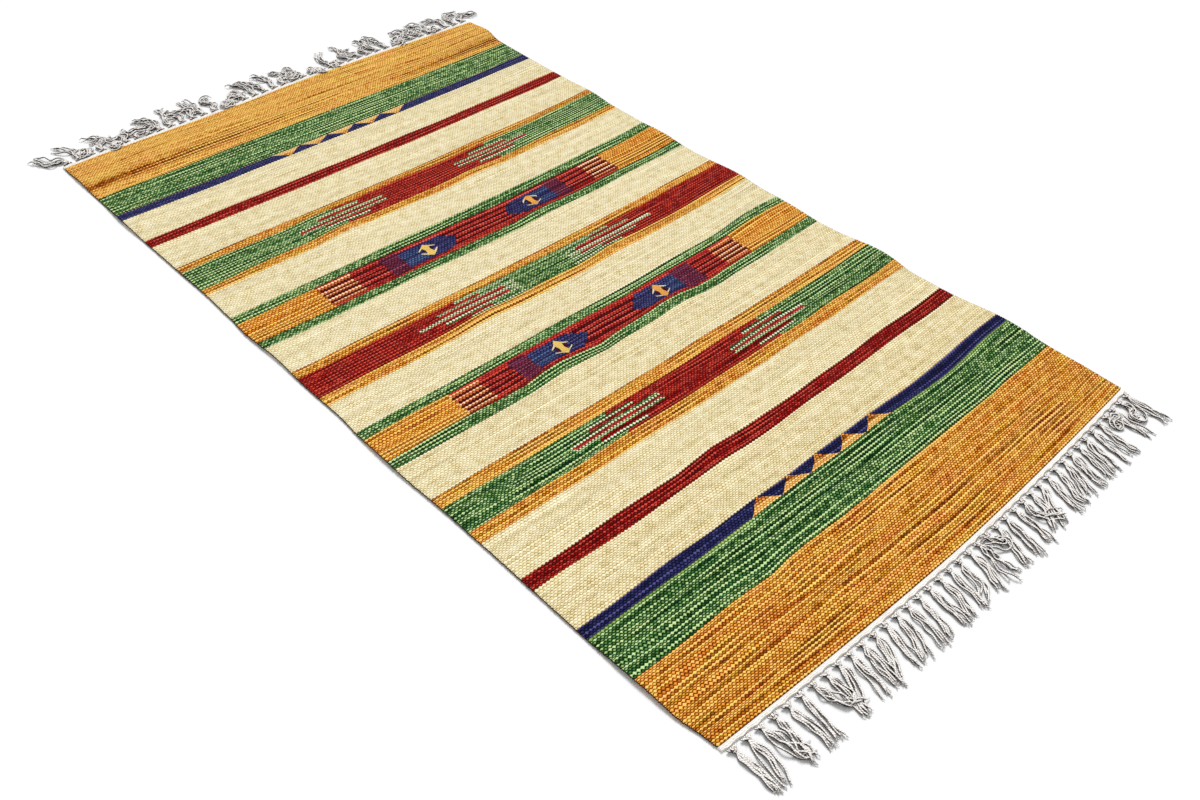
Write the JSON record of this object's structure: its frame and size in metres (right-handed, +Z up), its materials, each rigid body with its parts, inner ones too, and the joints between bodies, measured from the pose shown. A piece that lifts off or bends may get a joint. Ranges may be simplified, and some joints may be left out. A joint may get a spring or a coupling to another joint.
{
  "type": "kilim rug",
  "caption": "Flat-woven kilim rug lying flat, with coloured stripes, hatched and stepped pattern bands, a narrow heading along each end and knotted tassel fringes.",
  "frame": {"origin": "on the floor under the middle of the rug's outline, fringes included", "axes": "+X across the rug, +Y along the rug towards its far end, +Z up"},
  "size_m": [0.9704, 1.681, 0.0109],
  "materials": {
    "woven_cloth": "matt weft-faced plain weave in gold, cream, green, crimson and navy yarn",
    "heading_cotton": "undyed cotton, closely twined",
    "fringe_cord": "undyed twisted cotton cord"
  },
  "bodies": {
    "root": {"rug_cloth": "woven_cloth", "heading_far": "heading_cotton", "heading_near": "heading_cotton", "fringe_far": "fringe_cord", "fringe_near": "fringe_cord"}
  },
  "joints": []
}
